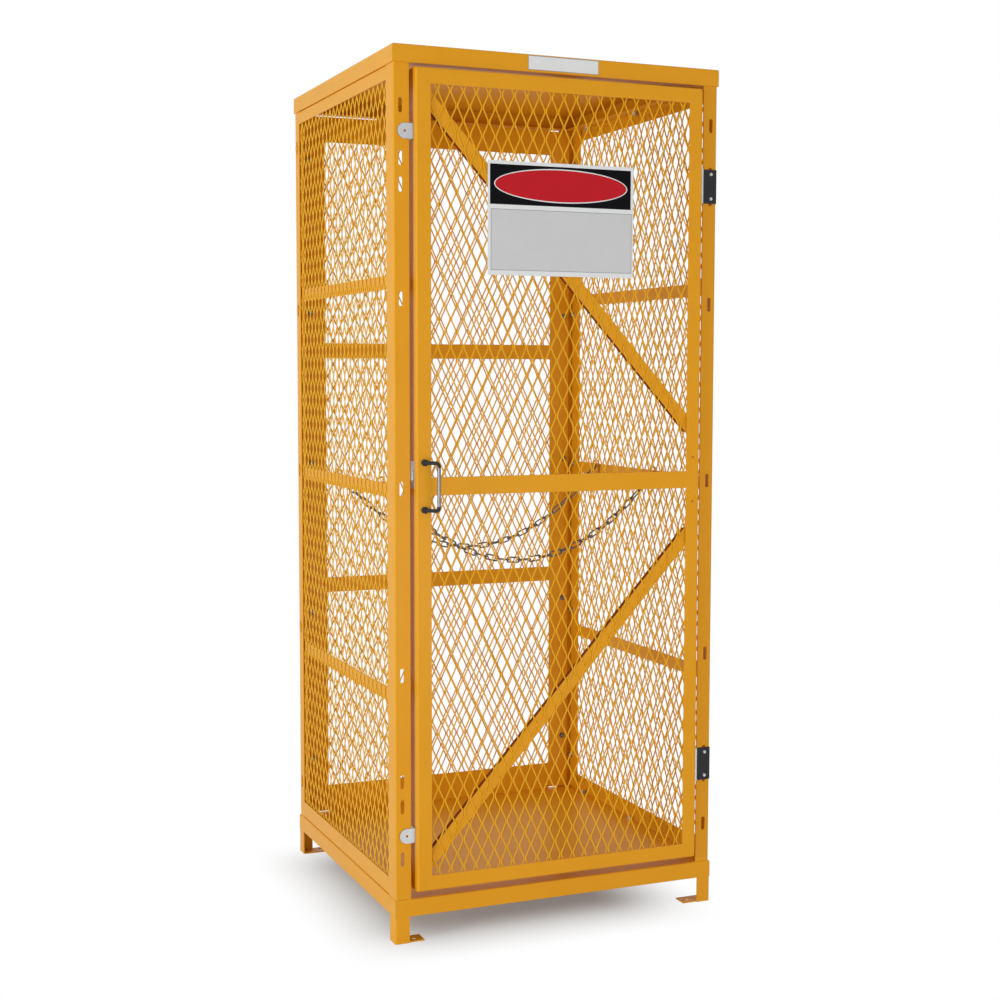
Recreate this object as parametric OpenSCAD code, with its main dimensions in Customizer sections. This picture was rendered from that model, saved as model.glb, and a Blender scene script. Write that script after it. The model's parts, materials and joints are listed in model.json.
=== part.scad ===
// Walk-up gas cylinder cage: a floor tray and a roof tray of folded steel, four corner posts,
// expanded metal panels on three sides, one hinged door with a lock, and two retaining chains.
// Millimetres. +X is the right-hand side seen from the front, +Y is the back, +Z is up.
// The origin is on the floor, in the middle of the whole outline, handle included.

/* [Cage] */
// Width over the trays
cage_w = 824; // [780:1:880]
// Depth of the trays, front to back
cage_d = 800; // [760:1:860]
// Height from the floor to the top of the roof
cage_h = 2030; // [2000:1:2100]
// Thickness of the folded sheet
sheet_t = 2.5; // [2:0.1:2.8]
// Outer radius of a fold
fold_r = 4; // [3:0.5:5]

/* [Trays and legs] */
// Height of the floor tray and of the roof tray
tray_h = 40; // [35:1:45]
// Width of the lip turned inwards under a tray
tray_lip = 30; // [25:1:35]
// Height of a leg under the floor tray
leg_h = 62; // [50:1:70]
// Width of a leg across the front
leg_front = 35; // [30:1:40]
// Width of a leg along the side
leg_side = 38; // [30:1:40]
// Thickness of a leg and its foot
leg_t = 3; // [2.5:0.5:4]
// Reach of a foot from the outer face of the leg
foot_reach = 72; // [65:1:80]
// Distance of the floor bolt hole from the outer face of the leg, across
foot_hole_x = 52; // [48:1:56]
// Distance of the floor bolt hole from the outer face of the leg, front to back
foot_hole_y = 20; // [16:1:24]
// Radius of the floor bolt hole
foot_hole_r = 6; // [5:0.5:7]

/* [Posts] */
// Distance of a post's faces inside the tray's faces
post_inset = 2.5; // [2.5:0.1:3]
// Narrow flange of a post, which has the slots
post_narrow = 37; // [32:0.5:38]
// Wide flange of a post
post_wide = 50; // [45:1:52]
// Distance of the slots from the outer face of the tray
slot_in = 19; // [18:0.5:20]
// Width of a slot
slot_w = 9; // [8.8:0.1:10]
// Length of a slot
slot_l = 33; // [25:1:36]
// Height of the lowest slot
slot_first = 197; // [190:1:210]
// Distance from one slot to the next
slot_pitch = 425; // [410:1:430]

/* [Side panels] */
// Wide leg of the rail angle
rail_wide = 42; // [38:1:44]
// Narrow leg of the rail angle
rail_narrow = 32; // [30:1:36]
// Thickness of the flat bars
bar_t = 3; // [3:0.5:4]
// Inner edge of a stile, from the outer face of the tray
stile_in = 55; // [54:1:60]
// Height of a flat rail
side_bar_h = 31; // [25:1:40]
// Height of the middle flat rail
side_bar_mid = 1040; // [1000:1:1060]
// Distance from the middle flat rail to the upper and the lower one
side_bar_gap = 471; // [440:1:490]

/* [Back panel] */
// Inner edge of a back stile, from the outer face of the tray
back_stile_in = 80; // [75:1:90]
// Height of the back panel's top rail
back_top_h = 66; // [55:1:75]
// Height of the back panel's bottom rail
back_bottom_h = 70; // [55:1:75]
// Gap between the back panel and each tray
back_gap = 4; // [3:0.5:6]
// Height of a flat rail of the back panel
back_bar_h = 40; // [30:1:45]
// Height of the upper flat rail of the back panel
back_bar_upper = 1366; // [1330:1:1400]
// Height of the lower flat rail of the back panel
back_bar_lower = 731; // [700:1:760]

/* [Mesh] */
// Thickness of the expanded metal
mesh_t = 2.5; // [2:0.1:2.8]
// Openings across a panel
mesh_across = 5; // [3:1:5]
// Openings up a panel
mesh_up = 7; // [4:1:7]
// Width of a strand
mesh_strand = 12; // [6:1:16]

/* [Door] */
// Gap between the door and the tray's outer face, at each side
door_side_gap = 50; // [48:1:54]
// Height of the door's lower edge
door_z0 = 121; // [115:1:130]
// Gap between the door's upper edge and the roof tray
door_top_gap = 10; // [8:1:14]
// Distance of the door's face in front of the posts
door_proud = 16; // [14:0.5:18]
// Width of the door frame's face
door_face = 35; // [32:1:40]
// Depth of the door frame
door_deep = 56; // [44:1:58]
// Height of the middle rail
mid_rail_h = 41; // [36:1:50]
// Height of the middle rail's centre
mid_rail_z = 1052; // [1048:1:1056]
// Width of a brace
brace_w = 30; // [25:1:32]
// Height of a brace's outer end above or below the door's middle
brace_far = 881; // [860:1:885]
// Height of a brace's inner end above or below the door's middle
brace_near = 117; // [100:1:130]

/* [Hinges] */
// Height of the lower hinge's middle
hinge_lower = 348; // [342:1:354]
// Height of the upper hinge's middle
hinge_upper = 1753; // [1747:1:1759]
// Height of a hinge
hinge_h = 80; // [75:5:90]
// Outer radius of the hinge barrel
barrel_r = 4.5; // [4.5:0.1:5]
// Radius of the hinge pin
pin_r = 2.5; // [2:0.1:2.6]
// Thickness of a hinge leaf
leaf_t = 2.5; // [2:0.1:2.5]
// Distance of the hinge screws above and below the middle of the hinge
hinge_screw_z = 29; // [26:1:30]

/* [Lock and handle] */
// Height of the lock bolt's centre
bolt_z = 1076; // [1070:1:1082]
// Height of the lock bolt
bolt_h = 20; // [16:1:22]
// Thickness of the lock bolt
bolt_t = 12; // [10:0.5:12]
// Height of the handle's middle
handle_z = 1052.5; // [1045:0.5:1060]
// Distance between the two ends of the handle
handle_span = 107; // [96:1:128]
// Radius of the handle's rod
handle_r = 4.25; // [4:0.25:5]
// Distance of the grip's axis in front of the door
handle_out = 38; // [32:1:45]
// Distance of the grip's axis to the right of the handle's ends
handle_over = 21; // [15:1:25]

/* [Chains] */
// Diameter of the chain wire
wire_d = 4; // [3.5:0.1:4]
// Inner length of a link
link_pitch = 32; // [30:1:32]
// Outer width of a link
link_w = 16; // [16:0.5:17]
// Links in a chain
link_count = 29; // [29:2:31]
// Distance of the front chain's left end behind the front of the tray
chain_left_y = 150; // [140:1:160]
// Distance from the front chain's left end to the rear chain's
chain_step = 335; // [330:1:345]
// Distance that the right end of a chain is further back than the left end
chain_skew = 125; // [80:1:130]

/* [Hidden] */
$fn = 32;
EPS = 1;

// Heights of the two trays
base_top = leg_h + tray_h;
roof_under = cage_h - tray_h;
post_h = roof_under - base_top;

// The door, measured from the left, front, bottom corner of the trays
door_x0 = door_side_gap;
door_w = cage_w - 2 * door_side_gap;
door_x1 = door_x0 + door_w;
door_z1 = roof_under - door_top_gap;
door_h = door_z1 - door_z0;
door_y = post_inset - door_proud;
door_mid_z = (door_z0 + door_z1) / 2;

// The grip of the handle is the foremost thing, and the trays are the rearmost
front_reach = handle_out + handle_r - door_y;
front_y = (front_reach - cage_d) / 2;

// Panel layers, from the outer face inwards
post_gap = 0.5;
mesh_x = post_inset + sheet_t;
bar_x = mesh_x + mesh_t;
inner_x = bar_x + bar_t;
panel_z0 = base_top + sheet_t;
panel_z1 = roof_under - sheet_t;

// Bolts of the panels
bolt_r = 4;
bolt_hole_r = 4.5;
bolt_head_r = 7;
bolt_head_h = 2.4;
nut_r = 13 / sqrt(3);
nut_h = 6.5;
bolt_spare = 3.5;
washer_r = 8;
washer_h = 1.5;
nut_room = 11.5;
rail_bolts_y = [110, 400, 690];
rail_bolt_in = 16;
slot_count = 5;
hinge_z = [hinge_lower, hinge_upper];
slots_z = [for (i = [0 : slot_count - 1]) slot_first + slot_pitch * i];
hinge_slots_z = [for (z = hinge_z, s = [-1, 1]) z + s * hinge_screw_z];

// Hinges
hinge_play = 0.4;
hinge_x = door_x1 + barrel_r + hinge_play;
hinge_y = post_inset - barrel_r;
knuckles = 5;
knuckle_h = hinge_h / knuckles;
knuckle_gap = 0.3;
leaf_clear = 0.5;
leaf_notch = barrel_r + leaf_clear;
leaf_edge = 1;
post_leaf_reach = cage_w - post_inset - hinge_x - leaf_edge;
door_leaf_reach = 30;
pin_play = 0.05;
pin_head_r = 3.7;
pin_head_h = 1.5;
screw_r = 3;
screw_hole_r = 3.5;
screw_head_r = 5;
screw_head_h = 3;
screw_chamfer = 1.5;
screw_nut_r = 10 / sqrt(3);
screw_nut_h = 5;
screw_spare = 1.5;

// Lock
faceplate_h = 62;
faceplate_w = 22;
faceplate_t = 1.5;
faceplate_rim = 0.5;
lock_y0 = 1;
lock_h = 56;
lock_deep = 21;
lock_reach = 33;
lock_wall = 2;
lock_above_bolt = 2;
lock_z = bolt_z + lock_above_bolt;
bolt_y0 = post_inset + sheet_t + post_gap;
bolt_len = 32;
bolt_tip_x = 42.5;
bolt_chamfer = 1.5;
bolt_play = 0.3;

// Handle and tabs
boss_r = 7.5;
boss_h = 7;
arm_depth = 2.5;
elbow_r = 8;
collar_h = 10;
handle_x = 68;
spare_hole_r = 3;
tab_h = 34;
tab_t = 2.5;
tab_tip_x = 11.5;
tab_leg = 24;
tab_play = 0.5;
tab_hole_r = 3;
tab_z = [251, 1841];

// Braces: how far their ends are inside the door's outer edges
brace_in_latch = 14;
brace_in_hinge = 16;

// Sign
sign_x0 = 222;
sign_w = 368;
sign_z0 = 1529;
sign_h = 257;
sign_t = 2;
sign_corner_r = 4;

// Chains: eyes of bent rod on the middle flat rails, and a catenary between them
eye_rod_r = 2;
eye_r = 8;
eye_turn = 290;
eye_rise = 1.5;
eye_z = side_bar_mid + side_bar_h / 2 + eye_rise;
eye_tail = 26;
eye_x = inner_x + eye_rod_r + eye_r;
// A chain's end link hangs round the bottom of its eye, with some play
hang_play = 0.8;
hang_z = eye_z - (eye_r - eye_rod_r - wire_d / 2 - hang_play);
chain_run = cage_w - 2 * eye_x;
chain_span = sqrt(chain_run * chain_run + chain_skew * chain_skew);
chain_turn = atan2(chain_skew, chain_run);
link_play = 0.4;
link_step = link_pitch - link_play;
link_end = (link_pitch + wire_d) / 2;
chain_half = (link_step * (link_count - 1)) / 2 + link_end;

function sinh(v) = (exp(v) - exp(-v)) / 2;
function cosh(v) = (exp(v) + exp(-v)) / 2;
function asinh(v) = ln(v + sqrt(v * v + 1));
// The catenary's constant, found by halving: a longer chain has a smaller one
CATENARY_LOW = 100;
CATENARY_HIGH = 4000;
HALVINGS = 40;
function catenary(low, high, steps) =
    let (mid = (low + high) / 2)
    steps == 0 ? mid
    : mid * sinh(chain_span / 2 / mid) > chain_half ? catenary(mid, high, steps - 1)
    : catenary(low, mid, steps - 1);
curve_a = catenary(CATENARY_LOW, CATENARY_HIGH, HALVINGS);

YELLOW = "#dc9a20";
BLACK = "#26282b";
ZINC = "#b9bcc0";

// Placing

// Puts what is measured from the trays' left, front corner into the part's frame
module in_cage() {
    translate([-cage_w / 2, front_y, 0])
        children();
}

// Turns a left-hand piece into a right-hand one
module on_side(right) {
    if (right)
        translate([cage_w, 0, 0])
            mirror([1, 0, 0])
                children();
    else
        children();
}

// Turns a front piece into a rear one
module on_end(rear) {
    if (rear)
        translate([0, cage_d, 0])
            mirror([0, 1, 0])
                children();
    else
        children();
}

// Extrudes a shape drawn in X and Z along +Y, from y0 to y1
module along_y(y0, y1) {
    translate([0, y1, 0])
        rotate([90, 0, 0])
            linear_extrude(y1 - y0)
                children();
}

// Profiles

// A folded angle: the outer corner of the fold is at the origin
module angle_profile(leg_x, leg_y, t = sheet_t, r = fold_r) {
    difference() {
        union() {
            translate([r, 0])
                square([leg_x - r, t]);
            translate([0, r])
                square([t, leg_y - r]);
            intersection() {
                translate([r, r])
                    circle(r);
                square(r);
            }
        }
        translate([r, r])
            circle(r - t);
    }
}

// A rectangle whose two upper corners are folds
module folded_top(w, h) {
    square([w, h - fold_r]);
    translate([fold_r, 0])
        square([w - 2 * fold_r, h]);
    for (x = [fold_r, w - fold_r])
        translate([x, h - fold_r])
            circle(fold_r);
}

// A slot that goes through a flange facing Y
module slot_cut() {
    rotate([90, 0, 0])
        linear_extrude(4 * sheet_t, center = true) {
            square([slot_w, slot_l - slot_w], center = true);
            for (s = [-1, 1])
                translate([0, s * (slot_l - slot_w) / 2])
                    circle(d = slot_w);
        }
}

// The places of the bolts that hold the side panels to a tray, on both sides
module at_rail_bolts() {
    for (right = [false, true])
        on_side(right)
            for (y = rail_bolts_y)
                translate([rail_bolt_in, y, 0])
                    children();
}

// The places of the bolts that hold one side panel to its rear post
module at_post_bolts() {
    for (z = slots_z)
        translate([0, cage_d - slot_in, z])
            rotate([0, 90, 0])
                children();
}

// Trays, posts and legs

// A tray with its sheet on top, flanges all round and a lip turned in under them
module tray() {
    difference() {
        intersection() {
            along_y(0, cage_d)
                folded_top(cage_w, tray_h);
            rotate([90, 0, 90])
                linear_extrude(cage_w)
                    folded_top(cage_d, tray_h);
        }
        translate([sheet_t, sheet_t, sheet_t])
            cube([cage_w - 2 * sheet_t, cage_d - 2 * sheet_t, tray_h - 2 * sheet_t]);
        translate([tray_lip, tray_lip, -EPS])
            cube([cage_w - 2 * tray_lip, cage_d - 2 * tray_lip, tray_h / 2]);
    }
}

module base_tray() {
    color(YELLOW) in_cage()
        difference() {
            translate([0, 0, leg_h])
                tray();
            at_rail_bolts()
                translate([0, 0, base_top - tray_h / 2])
                    cylinder(h = tray_h, r = bolt_hole_r);
        }
}

module roof_tray() {
    color(YELLOW) in_cage()
        difference() {
            translate([0, 0, roof_under])
                tray();
            at_rail_bolts()
                translate([0, 0, roof_under - EPS])
                    cylinder(h = tray_h / 2, r = bolt_hole_r);
        }
}

// A post is one folded angle. Its flanges are two nodes, so that its collision stays open:
// the side flange has the fold, and the other one starts where the fold ends.
module post_part(side, flange_x, flange_y) {
    linear_extrude(post_h)
        intersection() {
            angle_profile(flange_x, flange_y);
            translate([side ? 0 : fold_r, 0])
                square([side ? fold_r : flange_x, flange_y]);
        }
}

// The narrow flange with the slots faces front, the wide one faces the side
module front_post(right, side) {
    color(YELLOW) in_cage() on_side(right)
        difference() {
            translate([post_inset, post_inset, base_top])
                post_part(side, post_narrow, post_wide);
            for (z = concat(slots_z, hinge_slots_z))
                translate([slot_in, post_inset, z])
                    slot_cut();
        }
}

// The same post turned for the rear: the narrow flange faces the side, the wide one faces back
module rear_post(right, side) {
    color(YELLOW) in_cage() on_side(right)
        difference() {
            translate([post_inset, cage_d - post_inset, base_top])
                mirror([0, 1, 0])
                    post_part(side, post_wide, post_narrow);
            for (z = slots_z)
                translate([post_inset, cage_d - slot_in, z])
                    rotate([0, 0, 90])
                        slot_cut();
        }
}

// One folded piece: two upright flanges, and a foot turned inwards with a floor bolt hole
module leg(right, rear) {
    color(YELLOW) in_cage() on_side(right) on_end(rear)
        difference() {
            union() {
                linear_extrude(leg_h)
                    angle_profile(leg_front, leg_side, leg_t);
                translate([fold_r, leg_t, 0])
                    cube([foot_reach - fold_r, leg_side, leg_t]);
            }
            translate([foot_hole_x, foot_hole_y, -EPS])
                cylinder(h = leg_t + 2 * EPS, r = foot_hole_r);
        }
}

// Side panels

rail_y0 = post_inset + post_wide;
rail_y1 = cage_d - post_inset - post_narrow;

module side_top_rail(right) {
    color(YELLOW) in_cage() on_side(right)
        difference() {
            along_y(rail_y0, rail_y1)
                translate([post_inset, roof_under])
                    mirror([0, 1])
                        angle_profile(rail_wide, rail_narrow);
            for (y = rail_bolts_y)
                translate([rail_bolt_in, y, roof_under - tray_h / 2])
                    cylinder(h = tray_h, r = bolt_hole_r);
        }
}

module side_bottom_rail(right) {
    color(YELLOW) in_cage() on_side(right)
        difference() {
            along_y(rail_y0, rail_y1)
                translate([post_inset, base_top])
                    angle_profile(rail_narrow, rail_wide);
            for (y = rail_bolts_y)
                translate([rail_bolt_in, y, base_top - EPS])
                    cylinder(h = tray_h / 2, r = bolt_hole_r);
        }
}

module side_front_stile(right) {
    y0 = post_inset + sheet_t + post_gap;
    color(YELLOW) in_cage() on_side(right)
        translate([bar_x, y0, panel_z0])
            cube([bar_t, stile_in - y0, panel_z1 - panel_z0]);
}

module side_rear_stile(right) {
    y0 = cage_d - stile_in;
    y1 = cage_d - post_inset - sheet_t - mesh_t - bar_t;
    color(YELLOW) in_cage() on_side(right)
        difference() {
            translate([bar_x, y0, panel_z0])
                cube([bar_t, y1 - y0, panel_z1 - panel_z0]);
            at_post_bolts()
                cylinder(h = rail_wide, r = bolt_hole_r);
        }
}

// A flat rail behind the mesh: place is -1 for the lower, 0 for the middle, 1 for the upper
module side_flat_rail(right, place) {
    color(YELLOW) in_cage() on_side(right)
        translate([bar_x, stile_in, side_bar_mid + place * side_bar_gap - side_bar_h / 2])
            cube([bar_t, cage_d - 2 * stile_in, side_bar_h]);
}

// Expanded metal in a plain border. The window is cut into diamonds and half diamonds.
// It is drawn flat, in X and Y, with the sheet's corner at the origin.
module mesh_sheet(sheet, low, high) {
    cell = [(high.x - low.x) / mesh_across, (high.y - low.y) / mesh_up];
    inradius = cell.x * cell.y / 2 / sqrt(cell.x * cell.x + cell.y * cell.y);
    k = 1 - mesh_strand / 2 / inradius;
    diamond = [[cell.x / 2, 0], [0, cell.y / 2], [-cell.x / 2, 0], [0, -cell.y / 2]] * k;
    linear_extrude(mesh_t)
        difference() {
            square(sheet);
            intersection() {
                translate(low)
                    square(high - low);
                translate(low)
                    for (i = [0 : 2 * mesh_across], j = [0 : 2 * mesh_up])
                        if ((i + j) % 2 == 0)
                            translate([i * cell.x / 2, j * cell.y / 2])
                                polygon(diamond);
            }
        }
}

// Border of the mesh that its frame hides
mesh_edge = 6;

module side_mesh(right) {
    y0 = post_inset + sheet_t + bar_t;
    y1 = cage_d - post_inset - sheet_t - mesh_t - bar_t;
    z0 = base_top + fold_r;
    h = post_h - 2 * fold_r;
    color(YELLOW) in_cage() on_side(right)
        difference() {
            translate([mesh_x, y0, z0])
                rotate([90, 0, 90])
                    mesh_sheet([y1 - y0, h],
                               [stile_in + mesh_edge - y0, rail_wide + mesh_edge],
                               [cage_d - stile_in - mesh_edge - y0, h - rail_narrow - mesh_edge]);
            at_post_bolts()
                cylinder(h = rail_wide, r = bolt_hole_r);
        }
}

// Back panel

back_z0 = base_top + back_gap;
back_z1 = roof_under - back_gap;
back_mesh_y = cage_d - post_inset - sheet_t - mesh_t;
back_bar_y = back_mesh_y - bar_t;
back_x0 = inner_x + nut_room;

module back_bar(x0, x1, z0, z1) {
    color(YELLOW) in_cage()
        translate([x0, back_bar_y, z0])
            cube([x1 - x0, bar_t, z1 - z0]);
}

module back_stile(right) {
    x0 = right ? cage_w - back_stile_in : back_x0;
    back_bar(x0, x0 + back_stile_in - back_x0, back_z0, back_z1);
}

module back_top_rail() {
    back_bar(back_stile_in, cage_w - back_stile_in, back_z1 - back_top_h, back_z1);
}

// The bottom rail stands on the floor tray, and only the two stiles stop short of it
module back_bottom_rail() {
    back_bar(back_stile_in, cage_w - back_stile_in, base_top, back_z0 + back_bottom_h);
}

module back_flat_rail(z) {
    back_bar(back_stile_in, cage_w - back_stile_in, z - back_bar_h / 2, z + back_bar_h / 2);
}

module back_mesh() {
    h = back_z1 - back_z0;
    color(YELLOW) in_cage()
        translate([back_x0, back_mesh_y + mesh_t, back_z0])
            rotate([90, 0, 0])
                mesh_sheet([cage_w - 2 * back_x0, h],
                           [back_stile_in + mesh_edge - back_x0, back_bottom_h + mesh_edge],
                           [cage_w - back_stile_in - mesh_edge - back_x0,
                            h - back_top_h - mesh_edge]);
}

// Bolts and nuts

// A low round head under z = 0 and a shank that reaches a nut at z = grip
module panel_bolt(grip) {
    translate([0, 0, -bolt_head_h])
        cylinder(h = bolt_head_h, r = bolt_head_r);
    cylinder(h = grip + nut_h + bolt_spare, r = bolt_r);
}

module panel_nut(grip) {
    translate([0, 0, grip])
        difference() {
            union() {
                cylinder(h = washer_h, r = washer_r);
                translate([0, 0, washer_h])
                    cylinder(h = nut_h - washer_h, r = nut_r, $fn = 6);
            }
            translate([0, 0, -EPS])
                cylinder(h = nut_h + 2 * EPS, r = bolt_r);
        }
}

// Every panel bolt's place: its head seats at z = 0 and the sheets are grip thick
module at_panel_bolts(nuts) {
    tray_grip = 2 * sheet_t;
    post_grip = sheet_t + mesh_t + bar_t;
    at_rail_bolts() {
        translate([0, 0, base_top - sheet_t])
            fixing(nuts, tray_grip);
        translate([0, 0, roof_under + sheet_t])
            mirror([0, 0, 1])
                fixing(nuts, tray_grip);
    }
    for (right = [false, true])
        on_side(right)
            translate([post_inset, 0, 0])
                at_post_bolts()
                    fixing(nuts, post_grip);
}

module fixing(nuts, grip) {
    if (nuts)
        panel_nut(grip);
    else
        panel_bolt(grip);
}

module panel_bolts() {
    color(ZINC) in_cage()
        at_panel_bolts(false);
}

module panel_nuts() {
    color(ZINC) in_cage()
        at_panel_bolts(true);
}

// Hinges

module at_hinges() {
    for (z = hinge_z)
        translate([hinge_x, hinge_y, z - hinge_h / 2])
            children();
}

// Knuckles of one leaf, from the first one in steps of two
module knuckle_row(first) {
    for (k = [first : 2 : knuckles - 1])
        translate([0, 0, k * knuckle_h + knuckle_gap / 2])
            children();
}

module hinge_post_leaves() {
    color(BLACK) in_cage() at_hinges()
        difference() {
            union() {
                translate([leaf_notch, barrel_r - leaf_t, 0])
                    cube([post_leaf_reach - leaf_notch, leaf_t, hinge_h]);
                knuckle_row(0) {
                    cylinder(h = knuckle_h - knuckle_gap, r = barrel_r);
                    translate([0, barrel_r - leaf_t, 0])
                        cube([leaf_notch + EPS, leaf_t, knuckle_h - knuckle_gap]);
                }
            }
            translate([0, 0, -EPS])
                cylinder(h = hinge_h + 2 * EPS, r = pin_r);
            for (s = [-1, 1])
                translate([cage_w - slot_in - hinge_x, 0, hinge_h / 2 + s * hinge_screw_z])
                    rotate([90, 0, 0])
                        cylinder(h = hinge_h / 2, r = screw_hole_r, center = true);
        }
}

module hinge_door_leaves() {
    face_x = -barrel_r - hinge_play;
    color(ZINC) in_cage() at_hinges()
        difference() {
            union() {
                translate([face_x, leaf_notch, 0])
                    cube([leaf_t, door_leaf_reach - leaf_notch, hinge_h]);
                knuckle_row(1) {
                    cylinder(h = knuckle_h - knuckle_gap, r = barrel_r);
                    translate([face_x, 0, 0])
                        cube([leaf_t, leaf_notch + EPS, knuckle_h - knuckle_gap]);
                }
            }
            translate([0, 0, -EPS])
                cylinder(h = hinge_h + 2 * EPS, r = pin_r + pin_play);
        }
}

module hinge_pins() {
    color(ZINC) in_cage() at_hinges() {
        cylinder(h = hinge_h, r = pin_r);
        for (end = [-pin_head_h, hinge_h])
            translate([0, 0, end])
                cylinder(h = pin_head_h, r = pin_head_r);
    }
}

module hinge_screws() {
    leaf_y = post_inset - leaf_t;
    color(ZINC) in_cage()
        for (z = hinge_slots_z)
            translate([cage_w - slot_in, leaf_y, z])
                rotate([-90, 0, 0]) {
                    translate([0, 0, -screw_head_h])
                        cylinder(h = screw_head_h, r1 = screw_head_r - screw_chamfer,
                                 r2 = screw_head_r);
                    cylinder(h = leaf_t + sheet_t + screw_nut_h + screw_spare, r = screw_r);
                    translate([0, 0, leaf_t + sheet_t])
                        rotate([0, 0, 30])
                            cylinder(h = screw_nut_h, r = screw_nut_r, $fn = 6);
                }
}

// Door

// A frame member along X with mitred ends: its outer edge is z = 0, its face is y = 0
module frame_member(length) {
    intersection() {
        rotate([90, 0, 90])
            linear_extrude(length)
                angle_profile(door_deep, door_face);
        along_y(-EPS, door_deep + EPS)
            polygon([[0, 0], [length, 0], [length - door_face, door_face], [door_face, door_face]]);
    }
}

module door_bottom_rail() {
    color(YELLOW) in_cage()
        translate([door_x0, door_y, door_z0])
            frame_member(door_w);
}

module door_top_rail() {
    color(YELLOW) in_cage()
        translate([door_x1, door_y, door_z1])
            rotate([0, 180, 0])
                frame_member(door_w);
}

// The stile at the hinge side, drilled like the other one, for a door hung the other way
module door_hinge_stile() {
    color(YELLOW) in_cage()
        difference() {
            translate([door_x1, door_y, door_z0])
                rotate([0, -90, 0])
                    frame_member(door_h);
            for (end = [-1, 1])
                translate([cage_w - handle_x, door_y, handle_z + end * handle_span / 2])
                    rotate([90, 0, 0])
                        cylinder(h = 4 * sheet_t, r = spare_hole_r, center = true);
        }
}

// The stile at the lock side, cut out for the lock
module door_latch_stile() {
    color(YELLOW) in_cage()
        difference() {
            translate([door_x0, door_y, door_z1])
                rotate([0, 90, 0])
                    frame_member(door_h);
            lock_body();
        }
}

module door_mid_rail() {
    color(YELLOW) in_cage()
        translate([door_x0 + door_face, door_y, mid_rail_z - mid_rail_h / 2])
            cube([door_w - 2 * door_face, sheet_t, mid_rail_h]);
}

module door_mesh() {
    w = door_w - 2 * fold_r;
    h = door_h - 2 * fold_r;
    hidden = door_face - fold_r + mesh_edge;
    color(YELLOW) in_cage()
        translate([door_x0 + fold_r, door_y + sheet_t + mesh_t, door_z0 + fold_r])
            rotate([90, 0, 0])
                mesh_sheet([w, h], [hidden, hidden], [w - hidden, h - hidden]);
}

// A flat bar behind the mesh, from the lock stile's end to the hinge stile near the middle
module brace(up) {
    x0 = door_x0 + brace_in_latch;
    x1 = door_x1 - brace_in_hinge;
    rise = brace_far - brace_near;
    length = sqrt((x1 - x0) * (x1 - x0) + rise * rise);
    color(YELLOW) in_cage()
        translate([x0, door_y + sheet_t + mesh_t, door_mid_z + up * brace_far])
            rotate([0, up * atan2(rise, x1 - x0), 0])
                translate([0, 0, -brace_w / 2])
                    cube([length, bar_t, brace_w]);
}

// Two stop plates with a round end, each folded from a leg on the side of the lock stile
module door_tabs() {
    tab_y = post_inset - tab_play - tab_t;
    r = tab_h / 2;
    color(ZINC) in_cage()
        for (z = tab_z)
            translate([0, tab_y, z]) {
                along_y(0, tab_t)
                    difference() {
                        union() {
                            translate([tab_tip_x + r, 0])
                                circle(r);
                            translate([tab_tip_x + r, -r])
                                square([door_x0 - tab_tip_x - r, tab_h]);
                        }
                        translate([tab_tip_x + r, 0])
                            circle(tab_hole_r);
                    }
                translate([door_x0 - tab_t, 0, -r])
                    cube([tab_t, tab_leg, tab_h]);
            }
}

// The space of the lock's body in the stile
module lock_body() {
    translate([door_x0, lock_y0, lock_z - lock_h / 2])
        cube([lock_reach, lock_deep, lock_h]);
}

module lock_case() {
    color(BLACK) in_cage()
        difference() {
            union() {
                lock_body();
                translate([door_x0 - faceplate_t, lock_y0 - faceplate_rim, lock_z - faceplate_h / 2])
                    cube([faceplate_t, faceplate_w, faceplate_h]);
            }
            translate([0, bolt_y0 - bolt_play, bolt_z - bolt_h / 2 - bolt_play])
                cube([door_x0 + lock_reach - lock_wall, bolt_t + 2 * bolt_play,
                      bolt_h + 2 * bolt_play]);
        }
}

module lock_bolt() {
    c = bolt_chamfer;
    color(ZINC) in_cage()
        translate([bolt_tip_x, bolt_y0, bolt_z - bolt_h / 2])
            linear_extrude(bolt_h)
                polygon([[c, 0], [bolt_len, 0], [bolt_len, bolt_t], [c, bolt_t],
                         [0, bolt_t - c], [0, c]]);
}

// The upper end of the handle: a boss on the door, a slanted arm, a bend and a collar
// that points down to the grip
module handle_bracket() {
    arm_y0 = boss_h - arm_depth;
    arm_y = handle_out - arm_y0;
    arm = sqrt(handle_over * handle_over + arm_y * arm_y) - elbow_r;
    rotate([90, 0, 0])
        cylinder(h = boss_h, r = boss_r);
    translate([0, -arm_y0, 0])
        rotate([0, 0, -atan2(arm_y, handle_over)]) {
            rotate([0, 90, 0])
                cylinder(h = arm, r = handle_r);
            translate([arm, 0, -elbow_r])
                rotate([90, 0, 0])
                    rotate_extrude(angle = 90)
                        translate([elbow_r, 0])
                            circle(handle_r);
            translate([arm + elbow_r, 0, -collar_h])
                cylinder(h = collar_h - elbow_r, r = handle_r);
        }
}

module handle_brackets() {
    color(BLACK) in_cage()
        translate([handle_x, door_y, handle_z])
            for (flip = [0, 1])
                mirror([0, 0, flip])
                    translate([0, 0, handle_span / 2])
                        handle_bracket();
}

module handle_grip() {
    h = handle_span - 2 * collar_h;
    color(ZINC) in_cage()
        translate([handle_x + handle_over, door_y - handle_out, handle_z - h / 2])
            cylinder(h = h, r = handle_r);
}

module sign_plate() {
    r = sign_corner_r;
    color("#d9dade") in_cage()
        along_y(door_y + sheet_t - sign_t, door_y + sheet_t)
            translate([sign_x0, sign_z0]) {
                translate([r, 0])
                    square([sign_w - 2 * r, sign_h]);
                translate([0, r])
                    square([sign_w, sign_h - 2 * r]);
                for (x = [r, sign_w - r], z = [r, sign_h - r])
                    translate([x, z])
                        circle(r);
            }
}

// Chains

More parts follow.
